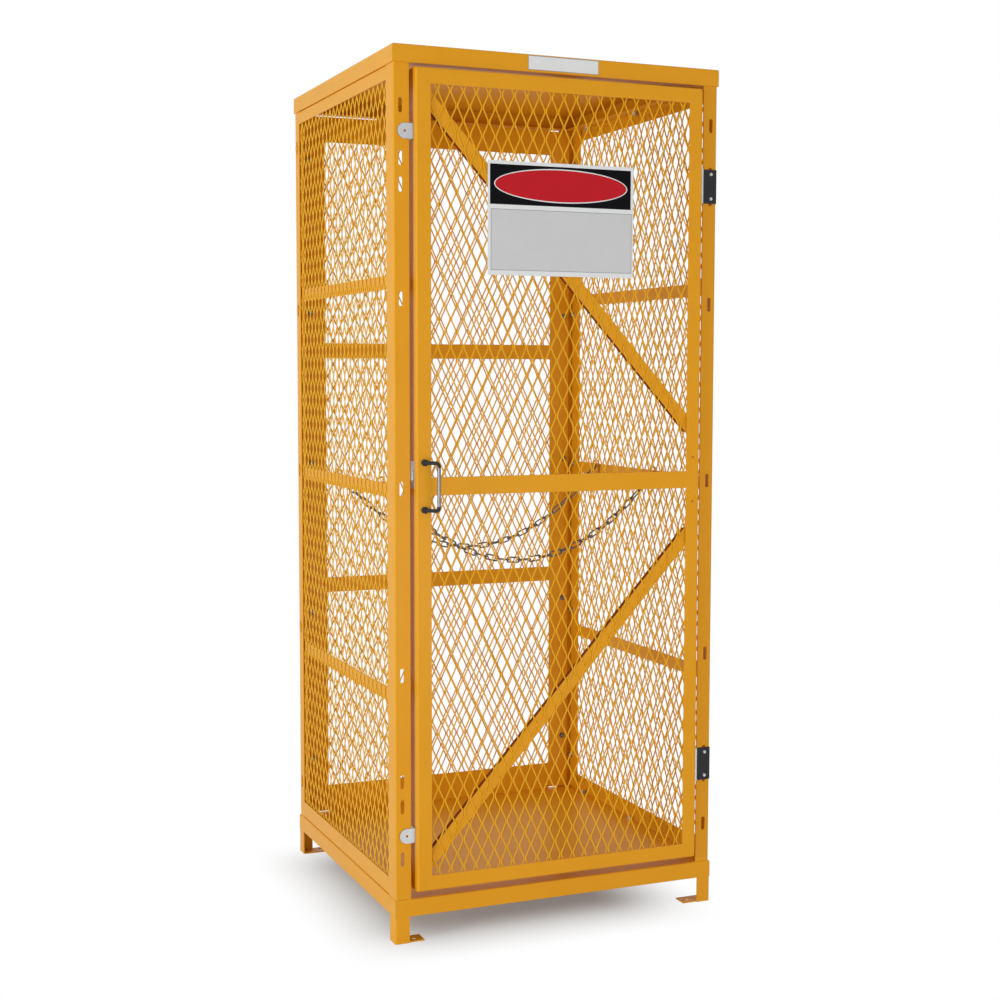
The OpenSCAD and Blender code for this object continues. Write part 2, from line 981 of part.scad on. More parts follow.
// A rod bent up, over and back round into an eye, with its tail against the flat rail
module eye() {
    rotate([-90, 0, 0])
        rotate([0, 0, 180])
            rotate_extrude(angle = eye_turn)
                translate([eye_r, 0])
                    circle(eye_rod_r);
    translate([-eye_r, 0, -eye_tail])
        cylinder(h = eye_tail, r = eye_rod_r);
}

module chain_eyes() {
    color(YELLOW) in_cage()
        for (right = [false, true], i = [0, 1])
            on_side(right)
                translate([eye_x, chain_left_y + i * chain_step + (right ? chain_skew : 0), eye_z])
                    eye();
}

// One link along X, made of rings of wire round an oblong path
module link() {
    sides = 6;
    turn_steps = 3;
    path_r = (link_w - wire_d) / 2;
    half = link_end - path_r;
    turns = [for (end = [0, 1], i = [0 : turn_steps]) [end, -90 + 180 * (end + i / turn_steps)]];
    rings = [for (turn = turns)
        let (centre = [turn[0] == 0 ? half : -half, 0, 0], out = [cos(turn[1]), sin(turn[1]), 0])
        for (s = [0 : sides - 1])
            let (a = 360 * s / sides)
            centre + out * (path_r + wire_d / 2 * cos(a)) + [0, 0, wire_d / 2 * sin(a)]];
    count = len(turns);
    faces = [for (i = [0 : count - 1], s = [0 : sides - 1])
        let (here = i * sides, next = ((i + 1) % count) * sides, t = (s + 1) % sides)
        [here + s, here + t, next + t, next + s]];
    polyhedron(rings, faces);
}

// The links from the left eye to the right one, flat and upright in turn
module chain(index) {
    color(ZINC) in_cage()
        translate([eye_x, chain_left_y + index * chain_step, hang_z])
            rotate([0, 0, chain_turn])
                translate([chain_span / 2, 0, 0])
                    for (i = [0 : link_count - 1]) {
                        s = link_end + link_step * i - chain_half;
                        x = curve_a * asinh(s / curve_a);
                        z = curve_a * (cosh(x / curve_a) - cosh(chain_span / 2 / curve_a));
                        translate([x, 0, z])
                            rotate([0, -atan(sinh(x / curve_a)), 0])
                                rotate([i % 2 * 90, 0, 0])
                                    link();
                    }
}

base_tray();
roof_tray();
front_post(false, false);  // post_front_left_face
front_post(false, true);  // post_front_left_side
front_post(true, false);  // post_front_right_face
front_post(true, true);  // post_front_right_side
rear_post(false, false);  // post_rear_left_back
rear_post(false, true);  // post_rear_left_side
rear_post(true, false);  // post_rear_right_back
rear_post(true, true);  // post_rear_right_side
leg(false, false);  // leg_front_left
leg(true, false);  // leg_front_right
leg(false, true);  // leg_rear_left
leg(true, true);  // leg_rear_right
side_top_rail(false);  // left_top_rail
side_bottom_rail(false);  // left_bottom_rail
side_front_stile(false);  // left_front_stile
side_rear_stile(false);  // left_rear_stile
side_flat_rail(false, 1);  // left_flat_rail_upper
side_flat_rail(false, 0);  // left_flat_rail_middle
side_flat_rail(false, -1);  // left_flat_rail_lower
side_mesh(false);  // left_mesh
side_top_rail(true);  // right_top_rail
side_bottom_rail(true);  // right_bottom_rail
side_front_stile(true);  // right_front_stile
side_rear_stile(true);  // right_rear_stile
side_flat_rail(true, 1);  // right_flat_rail_upper
side_flat_rail(true, 0);  // right_flat_rail_middle
side_flat_rail(true, -1);  // right_flat_rail_lower
side_mesh(true);  // right_mesh
back_top_rail();
back_bottom_rail();
back_stile(false);  // back_left_stile
back_stile(true);  // back_right_stile
back_flat_rail(back_bar_upper);  // back_flat_rail_upper
back_flat_rail(back_bar_lower);  // back_flat_rail_lower
back_mesh();
panel_bolts();
panel_nuts();
chain_eyes();
hinge_post_leaves();
hinge_pins();
hinge_screws();
hinge_door_leaves();
door_top_rail();
door_bottom_rail();
door_latch_stile();
door_hinge_stile();
door_mid_rail();
door_mesh();
brace(1);  // door_brace_upper
brace(-1);  // door_brace_lower
door_tabs();
handle_brackets();
handle_grip();
lock_case();
lock_bolt();
sign_plate();
chain(0);  // chain_front
chain(1);  // chain_rear
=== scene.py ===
# %% [markdown]
# # A cage for gas cylinders
# This lesson dresses a steel cage that stands about two metres tall. The construction comes
# ready made as a fixed frame: folded trays and posts, flat bars, a hinged door. What Blender
# adds is what the eye reads as real: the fine expanded metal, smooth chain links, small
# fasteners, a printed sign, and a finish for every surface.
# The frame is in metres, with +X to the right, +Y to the back and +Z up. A node's place is in
# its mesh, so its object sits at the origin, and every piece made here does the same.

# %% Load the frame
import json
import math

import bpy
from mathutils import Euler, Matrix, Vector


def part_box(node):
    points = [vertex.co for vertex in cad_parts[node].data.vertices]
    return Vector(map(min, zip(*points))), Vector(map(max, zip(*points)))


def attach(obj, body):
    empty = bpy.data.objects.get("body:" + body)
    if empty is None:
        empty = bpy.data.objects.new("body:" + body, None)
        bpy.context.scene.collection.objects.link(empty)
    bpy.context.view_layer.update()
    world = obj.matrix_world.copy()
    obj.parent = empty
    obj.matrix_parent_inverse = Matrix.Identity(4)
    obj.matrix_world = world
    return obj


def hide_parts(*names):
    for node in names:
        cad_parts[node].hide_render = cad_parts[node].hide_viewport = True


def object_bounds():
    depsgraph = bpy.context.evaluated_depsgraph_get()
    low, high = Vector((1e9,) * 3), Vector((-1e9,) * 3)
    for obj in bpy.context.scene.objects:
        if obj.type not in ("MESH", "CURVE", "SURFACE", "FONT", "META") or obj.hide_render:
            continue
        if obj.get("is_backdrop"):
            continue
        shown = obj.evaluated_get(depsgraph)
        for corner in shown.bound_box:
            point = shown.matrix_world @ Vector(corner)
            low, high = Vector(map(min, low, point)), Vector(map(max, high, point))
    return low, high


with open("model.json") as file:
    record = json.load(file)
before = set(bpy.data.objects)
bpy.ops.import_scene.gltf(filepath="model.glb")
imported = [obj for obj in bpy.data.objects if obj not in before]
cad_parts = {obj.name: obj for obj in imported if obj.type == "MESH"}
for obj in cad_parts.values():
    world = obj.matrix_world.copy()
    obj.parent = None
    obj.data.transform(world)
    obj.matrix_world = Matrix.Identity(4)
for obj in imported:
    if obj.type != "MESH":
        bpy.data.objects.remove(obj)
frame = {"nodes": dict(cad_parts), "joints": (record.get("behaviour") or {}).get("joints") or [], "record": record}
nodes = frame["nodes"]
joints = {joint["name"]: joint for joint in frame["joints"]}
cad_low, cad_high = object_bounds()
scene = bpy.context.scene
MM = 0.001


def add_object(name, data):
    made = bpy.data.objects.new(name, data)
    scene.collection.objects.link(made)
    return made


# %% [markdown]
# ## The camera
# The photograph was taken from the front, a little to the left and at chest height. Its two
# vanishing points give the direction, and the cage's own corners give the distance and the
# focal length. A picture 1000 pixels wide and a sensor 36 mm wide turn the focal length from
# pixels into millimetres.

# %% Camera
CAMERA_PLACE = Vector((-1.5928, -3.7972, 1.3093))
CAMERA_YAW = math.radians(-22.787)
CAMERA_PITCH = math.radians(-4.521)
CAMERA_ROLL = math.radians(0.085)
FOCAL_PIXELS = 1617.7
PICTURE_PIXELS = 1000
SENSOR_MM = 36

camera_data = bpy.data.cameras.new("camera")
camera_data.sensor_width = SENSOR_MM
camera_data.lens = SENSOR_MM * FOCAL_PIXELS / PICTURE_PIXELS
camera = add_object("camera", camera_data)
level_camera = Euler((math.radians(90) + CAMERA_PITCH, 0, CAMERA_YAW)).to_matrix()
turned_camera = level_camera @ Matrix.Rotation(CAMERA_ROLL, 3, "Z")
camera.matrix_world = Matrix.Translation(CAMERA_PLACE) @ turned_camera.to_4x4()
scene.camera = camera
print("the lens is", round(camera_data.lens, 2), "mm long")

# %% [markdown]
# ## Writing node trees as expressions
# A node tree is easier to read when it looks like a formula. `Wire` stands for one output
# socket, and adding or multiplying wires adds the Math nodes. `Graph` has one method that
# makes any other node: its settings are set first, because some of them change which sockets
# the node has, and then its inputs get their values or links. Both serve shader trees and
# geometry trees alike.

# %% Wire and Graph
class Wire:
    """An output socket that can be used in a formula."""

    def __init__(self, graph, socket):
        self.graph = graph
        self.socket = socket

    def math(self, operation, *others):
        made = self.graph.node("ShaderNodeMath", {"operation": operation}, {0: self})
        for place, other in enumerate(others, start=1):
            self.graph.feed(made.inputs[place], other)
        return Wire(self.graph, made.outputs[0])

    def before(self, operation, other):
        """The same, with the other value as the node's first input."""
        made = self.graph.node("ShaderNodeMath", {"operation": operation}, {0: other, 1: self})
        return Wire(self.graph, made.outputs[0])

    def __add__(self, other):
        return self.math("ADD", other)

    def __sub__(self, other):
        return self.math("SUBTRACT", other)

    def __mul__(self, other):
        return self.math("MULTIPLY", other)

    def __truediv__(self, other):
        return self.math("DIVIDE", other)

    def __gt__(self, other):
        return self.math("GREATER_THAN", other)

    def __lt__(self, other):
        return self.math("LESS_THAN", other)

    def __neg__(self):
        return self.math("MULTIPLY", -1)

    def __rsub__(self, other):
        return self.before("SUBTRACT", other)

    def __rtruediv__(self, other):
        return self.before("DIVIDE", other)

    __radd__ = __add__
    __rmul__ = __mul__

    def __abs__(self):
        return self.math("ABSOLUTE")


class Graph:
    """A node tree, with one method that adds a node of any kind."""

    def __init__(self, tree):
        self.tree = tree

    def feed(self, socket, value):
        if isinstance(value, Wire):
            self.tree.links.new(value.socket, socket)
        else:
            socket.default_value = value

    def node(self, kind, settings=None, inputs=None):
        made = self.tree.nodes.new(kind)
        for name, value in (settings or {}).items():
            setattr(made, name, value)
        for name, value in (inputs or {}).items():
            self.feed(made.inputs[name], value)
        return made

    def wire(self, kind, settings=None, inputs=None, output=0):
        return Wire(self, self.node(kind, settings, inputs).outputs[output])


# %% [markdown]
# ## What all finishes share
# Every material reads Object coordinates. The pieces sit at the origin at their real size, so
# these are metres, and a pattern keeps its scale from one piece to the next. A folded sheet
# never has a razor edge: the Bevel node rounds the corners in the shading, and so the edges
# catch the light as painted ones do.

# %% Helpers for materials
def new_material(name):
    material = bpy.data.materials.new(name)
    material.use_nodes = True
    material.node_tree.nodes.clear()
    return material, Graph(material.node_tree)


def object_place(graph):
    """Object coordinates as a vector, and as three numbers."""
    place = graph.wire("ShaderNodeTexCoord", output="Object")
    split = graph.node("ShaderNodeSeparateXYZ", inputs={0: place})
    return place, [Wire(graph, split.outputs[axis]) for axis in range(3)]


def noise(graph, place, scale, detail=2.0, roughness=0.5):
    """Soft random values around a half, with `scale` blotches to the metre."""
    sizes = {"Vector": place, "Scale": scale, "Detail": detail, "Roughness": roughness}
    return graph.wire("ShaderNodeTexNoise", inputs=sizes)


def blend_colours(graph, share, first, second):
    """The first colour where the share is 0, and the second where it is 1."""
    made = graph.node("ShaderNodeMix", {"data_type": "RGBA"}, {0: share, 6: first, 7: second})
    return Wire(graph, made.outputs[2])


def soft_edges(graph, radius):
    return graph.wire("ShaderNodeBevel", {"samples": 4}, {"Radius": radius})


def bump(graph, height, depth, normal=None):
    """Turns a height from 0 to 1 into a relief that is `depth` metres deep."""
    inputs = {"Height": height, "Distance": depth, "Strength": 1.0}
    if normal is not None:
        inputs["Normal"] = normal
    return graph.wire("ShaderNodeBump", inputs=inputs)


def surface(graph, shader):
    graph.node("ShaderNodeOutputMaterial", inputs={"Surface": shader})


def one_finish(name, shader_of, *values):
    """A material with the same shader all over."""
    material, graph = new_material(name)
    place, _ = object_place(graph)
    surface(graph, shader_of(graph, place, *values))
    return material


# %% [markdown]
# ## Powder coat
# The steel is powder coated in one golden yellow. Powder melts into a thick, even skin, a little glossy, with a
# fine orange peel of about a millimetre. Its colour hardly varies, so only a faint drift over a hand's width is
# added, and slow waves in the sheet bend the reflections. The thin strands of the mesh carry the same powder, but
# they get their own lighter copy of the yellow. That is painted light, which makes them look more brightly lit.

# %% Powder coat
YELLOW = (0.79, 0.355, 0.014, 1)
YELLOW_DEEP = (0.75, 0.320, 0.010, 1)
# The strands' lighter yellow is painted light: a lighter copy of the same powder coat.
STRAND_YELLOW_PAINTED_LIGHTER = (0.86, 0.435, 0.016, 1)
STRAND_DEEP_PAINTED_LIGHTER = (0.82, 0.395, 0.012, 1)
DRIFT_PER_METRE = 9
PEEL_PER_METRE, PEEL_DEPTH = 620, 0.03 * MM
WAVES_PER_METRE, WAVE_DEPTH = 7, 0.5 * MM
EDGE_RADIUS = 0.9 * MM
COAT_ROUGHNESS, COAT_ROUGHNESS_SPREAD, DULL_SPOTS_PER_METRE = 0.34, 0.1, 40


def powder_coat_shader(graph, place, full=YELLOW, deep=YELLOW_DEEP):
    drift = noise(graph, place, DRIFT_PER_METRE, detail=3)
    colour = blend_colours(graph, drift, full, deep)
    waves = bump(graph, noise(graph, place, WAVES_PER_METRE), WAVE_DEPTH,
                 soft_edges(graph, EDGE_RADIUS))
    peel = bump(graph, noise(graph, place, PEEL_PER_METRE, detail=1), PEEL_DEPTH, waves)
    dull_spots = noise(graph, place, DULL_SPOTS_PER_METRE)
    roughness = COAT_ROUGHNESS + dull_spots * COAT_ROUGHNESS_SPREAD
    inputs = {"Base Color": colour, "Roughness": roughness, "Normal": peel,
              "Specular IOR Level": 0.12, "Coat Weight": 0.06, "Coat Roughness": 0.2}
    return graph.wire("ShaderNodeBsdfPrincipled", inputs=inputs)


powder_coat = one_finish("powder_coat_yellow", powder_coat_shader)
# The strands get the lighter copy of the yellow, which is painted light.
painted_lighter_strand_coat = one_finish("powder_coat_painted_lighter_on_strands", powder_coat_shader,
                         STRAND_YELLOW_PAINTED_LIGHTER, STRAND_DEEP_PAINTED_LIGHTER)

# %% [markdown]
# ## Bare metals and black coat
# The small parts are bought in, so they aren't painted with the cage. Tabs, nuts, screws and
# hinge barrels are zinc plated: a light grey metal with a faint cloudiness. The chain's zinc
# is duller and browner. The hinge leaves, the handle's ends and the lock are black, and the
# grip is polished steel, dark between its reflections. Printing ink is the plainest: one
# colour, hardly glossy.

# %% Metals
ZINC = ((0.56, 0.57, 0.59, 1), (0.40, 0.41, 0.43, 1), 0.38)
CHAIN = ((0.25, 0.225, 0.195, 1), (0.10, 0.088, 0.076, 1), 0.42)
STEEL = ((0.22, 0.205, 0.225, 1), (0.15, 0.142, 0.158, 1), 0.3)
CLOUDS_PER_METRE, CLOUD_ROUGHNESS = 70, 0.12
METAL_GRAINS_PER_METRE, METAL_GRAIN_DEPTH = 1500, 0.02 * MM
METAL_EDGE_RADIUS = 0.4 * MM


def metal_shader(graph, place, light, dark, roughness):
    clouds = noise(graph, place, CLOUDS_PER_METRE, detail=4, roughness=0.6)
    colour = blend_colours(graph, clouds, light, dark)
    grain = noise(graph, place, METAL_GRAINS_PER_METRE, detail=1)
    normal = bump(graph, grain, METAL_GRAIN_DEPTH, soft_edges(graph, METAL_EDGE_RADIUS))
    inputs = {"Base Color": colour, "Metallic": 1.0, "Normal": normal,
              "Roughness": (roughness - CLOUD_ROUGHNESS / 2) + clouds * CLOUD_ROUGHNESS}
    return graph.wire("ShaderNodeBsdfPrincipled", inputs=inputs)


def zinc_shader(graph, place):
    return metal_shader(graph, place, *ZINC)


zinc = one_finish("zinc_plate", zinc_shader)
chain_zinc = one_finish("chain_zinc", metal_shader, *CHAIN)
polished_steel = one_finish("polished_steel", metal_shader, *STEEL)

# %% Black coat and inks
BLACK, BLACK_WORN = (0.014, 0.015, 0.018, 1), (0.026, 0.028, 0.034, 1)
BLACK_PATCHES_PER_METRE = 60
BLACK_GRAINS_PER_METRE, BLACK_GRAIN_DEPTH = 900, 0.05 * MM
BLACK_EDGE_RADIUS = 0.5 * MM
BLACK_ROUGHNESS, BLACK_ROUGHNESS_SPREAD = 0.38, 0.12
INK_PATCHES_PER_METRE, INK_UNEVENNESS = 25, 0.94


def black_shader(graph, place):
    grain = noise(graph, place, BLACK_GRAINS_PER_METRE, detail=2)
    patches = noise(graph, place, BLACK_PATCHES_PER_METRE)
    colour = blend_colours(graph, patches, BLACK, BLACK_WORN)
    normal = bump(graph, grain, BLACK_GRAIN_DEPTH, soft_edges(graph, BLACK_EDGE_RADIUS))
    inputs = {"Base Color": colour, "Normal": normal, "Specular IOR Level": 0.2,
              "Roughness": BLACK_ROUGHNESS + grain * BLACK_ROUGHNESS_SPREAD}
    return graph.wire("ShaderNodeBsdfPrincipled", inputs=inputs)


def ink_shader(graph, place, colour, roughness=0.35, gloss=0.1):
    patches = noise(graph, place, INK_PATCHES_PER_METRE, detail=3)
    darker = (channel * INK_UNEVENNESS for channel in colour)
    ink = blend_colours(graph, patches, (*colour, 1), (*darker, 1))
    inputs = {"Base Color": ink, "Roughness": roughness, "Specular IOR Level": gloss}
    return graph.wire("ShaderNodeBsdfPrincipled", inputs=inputs)


black_coat = one_finish("black_coat", black_shader)
sign_white = one_finish("sign_white", ink_shader, (0.80, 0.81, 0.84))
sign_grey = one_finish("sign_grey", ink_shader, (0.64, 0.635, 0.67))
sign_line = one_finish("sign_line", ink_shader, (0.33, 0.34, 0.38))
sign_black = one_finish("sign_black", ink_shader, (0.006, 0.006, 0.008), 0.35, 0.03)
sign_red = one_finish("sign_red", ink_shader, (0.55, 0.012, 0.022))

# %% [markdown]
# ## Two finishes on one piece
# Three nodes have two finishes each. The heads of the panel bolts were painted with the cage,
# and their threads inside stayed bare. The post's hinge leaf is black, and its barrel is
# bright. The lock's case is black behind a bright face plate. A Mix Shader with a mask from
# the X coordinate does all three: the mask is a sharp step, so each side keeps its finish.

# %% Masked finishes
BOLT_HEAD_DEPTH = 2.6 * MM
BARREL_RADIUS = 4.6 * MM
FACEPLATE_THICKNESS = 1.5 * MM
painted_beyond_x = cad_high.x - BOLT_HEAD_DEPTH
barrel_edge_x = joints["door_hinge"]["pos_m"][0] + BARREL_RADIUS
faceplate_back_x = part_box("lock_case")[0].x + FACEPLATE_THICKNESS


def two_finishes(name, mask_of, first_shader, second_shader):
    """The first finish where the mask is 0, and the second where it is 1."""
    material, graph = new_material(name)
    place, axes = object_place(graph)
    shaders = {1: first_shader(graph, place), 2: second_shader(graph, place)}
    surface(graph, graph.wire("ShaderNodeMixShader", inputs={0: mask_of(*axes), **shaders}))
    return material


bolt_finish = two_finishes("bolt_zinc_and_coat", lambda x, y, z: abs(x) > painted_beyond_x,
                           zinc_shader, powder_coat_shader)
leaf_finish = two_finishes("hinge_zinc_and_black", lambda x, y, z: x > barrel_edge_x,
                           zinc_shader, black_shader)
lock_finish = two_finishes("lock_zinc_and_black", lambda x, y, z: x > faceplate_back_x,
                           zinc_shader, black_shader)

# %% [markdown]
# ## The finish of every node of the frame
# Each node keeps its shape and gets a material in place of the plain one. The record says
# which slot a node belongs to, so most nodes are dressed by their slot, and the three nodes
# with two finishes are named.

# %% Dress the frame
SLOT_MATERIALS = {"yellow_coat": powder_coat, "black_coat": black_coat, "zinc": zinc,
                  "polished_steel": polished_steel, "chain_zinc": chain_zinc,
                  "sign_face": sign_white}
NODE_MATERIALS = {"panel_bolts": bolt_finish, "hinge_post_leaves": leaf_finish,
                  "lock_case": lock_finish}
slot_of = {part["node"]: part["material_slot"] for part in frame["record"]["subparts"]}
for name, node in nodes.items():
    material = NODE_MATERIALS.get(name, SLOT_MATERIALS[slot_of[name]])
    node.data.materials.clear()
    node.data.materials.append(material)

# %% [markdown]
# ## Turning a node tree into a plain mesh
# What repeats is made by Geometry Nodes. The tree sits on an empty mesh as a modifier, its
# inputs are set by their identifiers before anything is evaluated, and the result is copied
# out as a plain mesh. The copy then gets its place, and the object that carried the modifier
# is removed.

# %% Geometry tree helpers
class GeometryGraph(Graph):
    """A geometry tree with named inputs."""

    def __init__(self, name, sizes):
        super().__init__(bpy.data.node_groups.new(name, "GeometryNodeTree"))
        face = self.tree.interface
        self.identifiers = {}
        for label, kind in {**sizes, "Material": "Material"}.items():
            socket = face.new_socket(name=label, in_out="INPUT",
                                     socket_type="NodeSocket" + kind)
            self.identifiers[label] = socket.identifier
        face.new_socket(name="Geometry", in_out="OUTPUT", socket_type="NodeSocketGeometry")
        self.entry = self.tree.nodes.new("NodeGroupInput")

    def __getitem__(self, label):
        return Wire(self, self.entry.outputs[label])

    def finish(self, geometry):
        """Ends the tree: everything is made real and gets its material."""
        real = self.wire("GeometryNodeRealizeInstances", inputs={"Geometry": geometry})
        dressed = self.wire("GeometryNodeSetMaterial",
                            inputs={"Geometry": real, "Material": self["Material"]})
        exit_node = self.tree.nodes.new("NodeGroupOutput")
        self.tree.links.new(dressed.socket, exit_node.inputs[0])

    def make(self, name, values, material, place=Matrix.Identity(4)):
        """Runs the tree with these values, and returns the result as a plain object."""
        carrier = add_object(name + "_carrier", bpy.data.meshes.new(name))
        modifier = carrier.modifiers.new("tree", "NODES")
        modifier.node_group = self.tree
        for label, value in {**values, "Material": material}.items():
            modifier[self.identifiers[label]] = value
        depsgraph = bpy.context.evaluated_depsgraph_get()
        mesh = bpy.data.meshes.new_from_object(carrier.evaluated_get(depsgraph))
        bpy.data.objects.remove(carrier)
        mesh.transform(place)
        mesh.name = name
        print(name, "has", sum(len(face.vertices) - 2 for face in mesh.polygons), "triangles")
        return add_object(name, mesh)


def join(graph, *geometries):
    made = graph.node("GeometryNodeJoinGeometry")
    for geometry in reversed(geometries):
        graph.tree.links.new(geometry.socket, made.inputs[0])
    return Wire(graph, made.outputs[0])


def vector(graph, x=0.0, y=0.0, z=0.0):
    return graph.wire("ShaderNodeCombineXYZ", inputs={"X": x, "Y": y, "Z": z})


# %% [markdown]
# ## Expanded metal
# Expanded metal is a sheet that was slit and pulled open, so it has no woven wires: each
# strand is a strip of sheet, and where two strands meet they are still one piece, the bond.
# Pulling also twists the strands, so that their edges stand up and catch the light. The
# openings here are 31 mm wide and 63 mm tall.
# One bond with the four half strands around it is all that has to be modelled. Two curves
# pass side by side through the bond, one bulging left and one right, and a flat section
# follows each. Copies of that knot stand on two grids, the second shifted by half a pitch.

# %% Expanded metal tree
STRAND_POINTS = 6
BOND_SHARE = 0.2

mesh_graph = GeometryGraph("expanded_metal", {
    "Columns": "Int", "Rows": "Int", "Pitch across": "Float", "Pitch up": "Float",
    "Strand": "Float", "Thickness": "Float", "Twist": "Float"})


def strand(graph, side):
    """Half of a knot: the curve that passes the bond on one side, with its flat section."""
    line = graph.wire("GeometryNodeMeshLine", {"mode": "END_POINTS"},
                      {"Count": STRAND_POINTS, 2: (0, -1, 0), 3: (0, 1, 0)})
    position = graph.wire("GeometryNodeInputPosition")
    split = graph.node("ShaderNodeSeparateXYZ", inputs={0: position})
    along = Wire(graph, split.outputs["Y"])
    away = (abs(along) - BOND_SHARE).math("MAXIMUM", 0) / (1 - BOND_SHARE)
    half_strand = graph["Strand"] / 2
    across = half_strand * graph["Twist"].math("COSINE")
    lift = half_strand * graph["Twist"].math("SINE")
    x = (across + (graph["Pitch across"] / 4 - across) * away) * side
    y = along * graph["Pitch up"] / 4
    z = lift * (1 - away) * side
    bent = graph.wire("GeometryNodeSetPosition",
                      inputs={"Geometry": line, "Position": vector(graph, x, y, z)})
    curve = graph.wire("GeometryNodeMeshToCurve", inputs={"Mesh": bent})
    upright = graph.wire("GeometryNodeSetCurveNormal", {"mode": "Z_UP"}, {"Curve": curve})
    tilted = graph.wire("GeometryNodeSetCurveTilt",
                        inputs={"Curve": upright, "Tilt": graph["Twist"]})
    section = graph.wire("GeometryNodeCurvePrimitiveQuadrilateral", {"mode": "RECTANGLE"},
                         {"Width": graph["Strand"], "Height": graph["Thickness"]})
    return graph.wire("GeometryNodeCurveToMesh",
                      inputs={"Curve": tilted, "Profile Curve": section})


def knots(graph, knot, columns, rows):
    """A centred grid of knots, a whole pitch apart both ways."""
    width = (columns - 1) * graph["Pitch across"]
    height = (rows - 1) * graph["Pitch up"]
    grid = graph.wire("GeometryNodeMeshGrid",
                      inputs={"Size X": width, "Size Y": height,
                              "Vertices X": columns, "Vertices Y": rows})
    return graph.wire("GeometryNodeInstanceOnPoints",
                      inputs={"Points": grid, "Instance": knot})


knot = join(mesh_graph, strand(mesh_graph, 1), strand(mesh_graph, -1))
columns, rows = mesh_graph["Columns"], mesh_graph["Rows"]
mesh_graph.finish(join(mesh_graph, knots(mesh_graph, knot, columns, rows),
                       knots(mesh_graph, knot, columns - 1, rows - 1)))

# %% [markdown]
# ## Four panels of it
# Each panel fills the place of its plain stand-in. The stand-in's box gives the sheet's width
# and height, and so how many whole openings fit, and its middle gives the plane. The three
# wall panels and the door's panel differ only in size and in how they are turned.

# %% Mesh panels
PITCH_ACROSS, PITCH_UP = 31 * MM, 63 * MM
STRAND, STRAND_THICKNESS = 3.6 * MM, 0.9 * MM
TWIST = math.radians(15)
FACING_Y = Matrix.Rotation(math.radians(90), 4, "X")
FACING_X = Matrix.Rotation(math.radians(90), 4, "Z") @ FACING_Y


def mesh_panel(node, body, turn):
    low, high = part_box(node)
    size = high - low
    width = max(size.x, size.y)
    values = {"Columns": round(width / PITCH_ACROSS), "Rows": round(size.z / PITCH_UP),
              "Pitch across": PITCH_ACROSS, "Pitch up": PITCH_UP, "Strand": STRAND,
              "Thickness": STRAND_THICKNESS, "Twist": TWIST}
    place = Matrix.Translation((low + high) / 2) @ turn
    piece = mesh_graph.make(node + "_expanded", values, painted_lighter_strand_coat, place)
    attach(piece, body)
    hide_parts(node)


for node, body, turn in (("left_mesh", "cage", FACING_X), ("right_mesh", "cage", FACING_X),
                         ("back_mesh", "cage", FACING_Y), ("door_mesh", "door", FACING_Y)):
    mesh_panel(node, body, turn)

# %% [markdown]
# ## Chains
# A chain hangs in a catenary, and that curve has a friendly property: at the arc length s
# from its lowest point, the slope is s / a, where a is the curve's constant. So a link's place
# and tilt follow from its number alone, and the tree needs no curve object. Every second
# link is turned a quarter.
# The constant is found by halving, from the span between the eyes and the length of links.
# The joint on which the chain swings gives the direction, and the chain's ends are a little
# above it, because each end link turns about the rod of its eye.

# %% Chain tree
RING_CORNERS, WIRE_CORNERS = 24, 10

chain_graph = GeometryGraph("chain", {
    "Links": "Int", "Step": "Float", "Curve constant": "Float", "Drop": "Float",
    "Wire": "Float", "Pitch": "Float", "Width": "Float"})


def smooth_link(graph):
    """A ring of wire, pulled out into an oblong."""
    bend = (graph["Width"] - graph["Wire"]) / 2
    ring = graph.wire("GeometryNodeCurvePrimitiveCircle",
                      inputs={"Resolution": RING_CORNERS, 4: bend})
    position = graph.wire("GeometryNodeInputPosition")
    split = graph.node("ShaderNodeSeparateXYZ", inputs={0: position})
    straight = (graph["Pitch"] + graph["Wire"]) / 2 - bend
    side = Wire(graph, split.outputs["X"]).math("SIGN")
    oblong = graph.wire("GeometryNodeSetPosition",
                        inputs={"Geometry": ring, "Offset": vector(graph, side * straight)})
    section = graph.wire("GeometryNodeCurvePrimitiveCircle",
                         inputs={"Resolution": WIRE_CORNERS, 4: graph["Wire"] / 2})
    tube = graph.wire("GeometryNodeCurveToMesh",
                      inputs={"Curve": oblong, "Profile Curve": section})
    return graph.wire("GeometryNodeSetShadeSmooth", inputs={"Geometry": tube})


number = chain_graph.wire("GeometryNodeInputIndex")
slope = (number - (chain_graph["Links"] - 1) / 2) * chain_graph["Step"] \
    / chain_graph["Curve constant"]
stretch = (slope * slope + 1).math("SQRT")
link_x = (slope + stretch).math("LOGARITHM", math.e) * chain_graph["Curve constant"]
link_z = stretch * chain_graph["Curve constant"] - chain_graph["Drop"]
points = chain_graph.wire("GeometryNodeMeshLine", inputs={"Count": chain_graph["Links"]})
hung = chain_graph.wire("GeometryNodeSetPosition",
                        inputs={"Geometry": points,
                                "Position": vector(chain_graph, link_x, 0, link_z)})
quarter = number.math("MODULO", 2) * math.radians(90)
turned = vector(chain_graph, quarter, -slope.math("ARCTANGENT"), 0)
chain_graph.finish(chain_graph.wire(
    "GeometryNodeInstanceOnPoints",
    inputs={"Points": hung, "Instance": smooth_link(chain_graph), "Rotation": turned}))

# %% Chains
LINKS = 29
CHAIN_WIRE = 4 * MM
LINK_PITCH = 32 * MM
LINK_WIDTH = 16 * MM
LINK_PLAY = 0.4 * MM
LINK_STEP = LINK_PITCH - LINK_PLAY
END_OVER_AXIS = 4.25 * MM
HALVINGS = 60


def catenary_constant(span, half_length):
    """A larger constant makes a flatter and shorter curve, so halving closes in on it."""
    low, high = span / 10, span * 5
    for _ in range(HALVINGS):
        middle = (low + high) / 2
        if middle * math.sinh(span / 2 / middle) > half_length:
            low = middle
        else:
            high = middle
    return low


